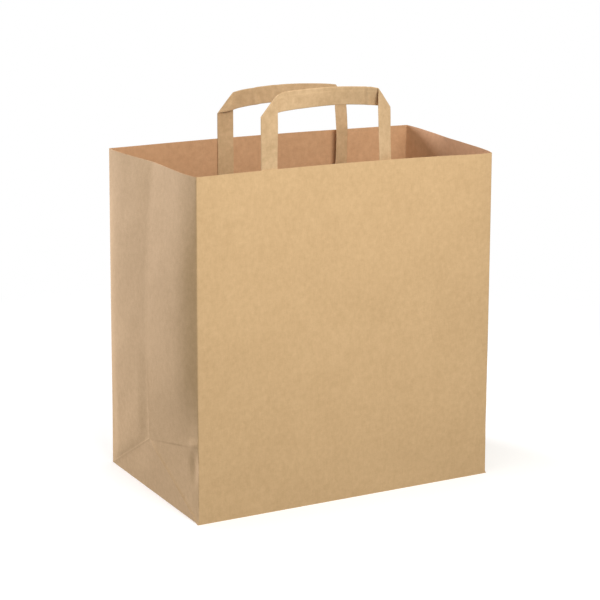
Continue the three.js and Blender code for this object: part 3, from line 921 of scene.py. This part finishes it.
floor_paint = bpy.data.materials.new("studio_floor_paint")
floor_paint.use_nodes = True
nodes = floor_paint.node_tree.nodes
links = floor_paint.node_tree.links
nodes.clear()
output = nodes.new("ShaderNodeOutputMaterial")
path = nodes.new("ShaderNodeLightPath")
seen = nodes.new("ShaderNodeBsdfDiffuse")
seen.inputs["Color"].default_value = (0.93, 0.93, 0.93, 1)
glow = nodes.new("ShaderNodeEmission")
glow.inputs["Color"].default_value = (1, 1, 1, 1)
glow.inputs["Strength"].default_value = 0.26
lit = nodes.new("ShaderNodeAddShader")
links.new(seen.outputs[0], lit.inputs[0])
links.new(glow.outputs[0], lit.inputs[1])
white = nodes.new("ShaderNodeEmission")
white.inputs["Color"].default_value = (1, 1, 1, 1)
white.inputs["Strength"].default_value = 1.0
place = nodes.new("ShaderNodeTexCoord")
distance = nodes.new("ShaderNodeVectorMath")
distance.operation = "LENGTH"
links.new(place.outputs["Object"], distance.inputs[0])
fade = nodes.new("ShaderNodeMapRange")
fade.interpolation_type = "SMOOTHSTEP"
fade.inputs["From Min"].default_value = 0.32
fade.inputs["From Max"].default_value = 0.75
links.new(distance.outputs["Value"], fade.inputs["Value"])
surround = nodes.new("ShaderNodeMixShader")
links.new(fade.outputs["Result"], surround.inputs["Fac"])
links.new(lit.outputs[0], surround.inputs[1])
links.new(white.outputs[0], surround.inputs[2])
bounce = nodes.new("ShaderNodeBsdfDiffuse")
bounce.inputs["Color"].default_value = (0.18, 0.18, 0.18, 1)
choose = nodes.new("ShaderNodeMixShader")
links.new(path.outputs["Is Camera Ray"], choose.inputs["Fac"])
links.new(bounce.outputs[0], choose.inputs[1])
links.new(surround.outputs[0], choose.inputs[2])
links.new(choose.outputs[0], output.inputs["Surface"])
floor_mesh.materials.append(floor_paint)

world = bpy.data.worlds.new("studio_air")
bpy.context.scene.world = world
world.use_nodes = True
nodes = world.node_tree.nodes
links = world.node_tree.links
nodes.clear()
output = nodes.new("ShaderNodeOutputWorld")
path = nodes.new("ShaderNodeLightPath")
soft = nodes.new("ShaderNodeBackground")
soft.inputs["Color"].default_value = (1, 1, 1, 1)
soft.inputs["Strength"].default_value = 0.42
white = nodes.new("ShaderNodeBackground")
white.inputs["Color"].default_value = (1, 1, 1, 1)
white.inputs["Strength"].default_value = 1.0
choose = nodes.new("ShaderNodeMixShader")
links.new(path.outputs["Is Camera Ray"], choose.inputs["Fac"])
links.new(soft.outputs[0], choose.inputs[1])
links.new(white.outputs[0], choose.inputs[2])
links.new(choose.outputs[0], output.inputs["Surface"])


def soft_lamp(name, place, aim, size, watts, colour):
    data = bpy.data.lights.new(name, "AREA")
    data.shape = "DISK"
    data.size = size
    data.energy = watts
    data.color = colour
    lamp = bpy.data.objects.new(name, data)
    lamp.location = place
    lamp.rotation_euler = (Vector(aim) - Vector(place)).to_track_quat("-Z", "Y").to_euler()
    bpy.context.scene.collection.objects.link(lamp)


soft_lamp("front_lamp", (0.03, -0.95, 0.8), (0, -0.09, 0.2), 0.8, 9.9, (1.0, 0.97, 0.91))
soft_lamp("top_lamp", (-0.03, -0.03, 0.85), (0.08, 0.09, 0.28), 0.3, 0.7, (1.0, 0.97, 0.92))
soft_lamp("back_lamp", (-1.17, 2.17, 0.64), (-0.1, 0, 0.2), 1.0, 71, (0.92, 0.9, 0.98))

# The camera, at the height and angle from which the bag is seen, through a lens of 114 mm
AZIMUTH = math.radians(-26.98)
ELEVATION = math.radians(14.34)
ROLL = math.radians(0.29)
DISTANCE = 1757.8
AIM = Vector((-2.42, 0, 164.37))
LENS = 114
FILM = 36

back = Vector((
    math.sin(AZIMUTH) * math.cos(ELEVATION),
    -math.cos(AZIMUTH) * math.cos(ELEVATION),
    math.sin(ELEVATION),
))
right = Vector((0, 0, 1)).cross(back).normalized()
up = back.cross(right)
turned_right = right * math.cos(ROLL) + up * math.sin(ROLL)
turned_up = up * math.cos(ROLL) - right * math.sin(ROLL)
camera_data = bpy.data.cameras.new("studio_camera")
camera_data.lens = LENS
camera_data.sensor_width = FILM
camera = bpy.data.objects.new("studio_camera", camera_data)
axes = Matrix((turned_right, turned_up, back)).transposed()
camera.matrix_world = Matrix.Translation((AIM + back * DISTANCE) * MM) @ axes.to_4x4()
bpy.context.scene.collection.objects.link(camera)
bpy.context.scene.camera = camera
bpy.context.scene.view_settings.view_transform = "Standard"
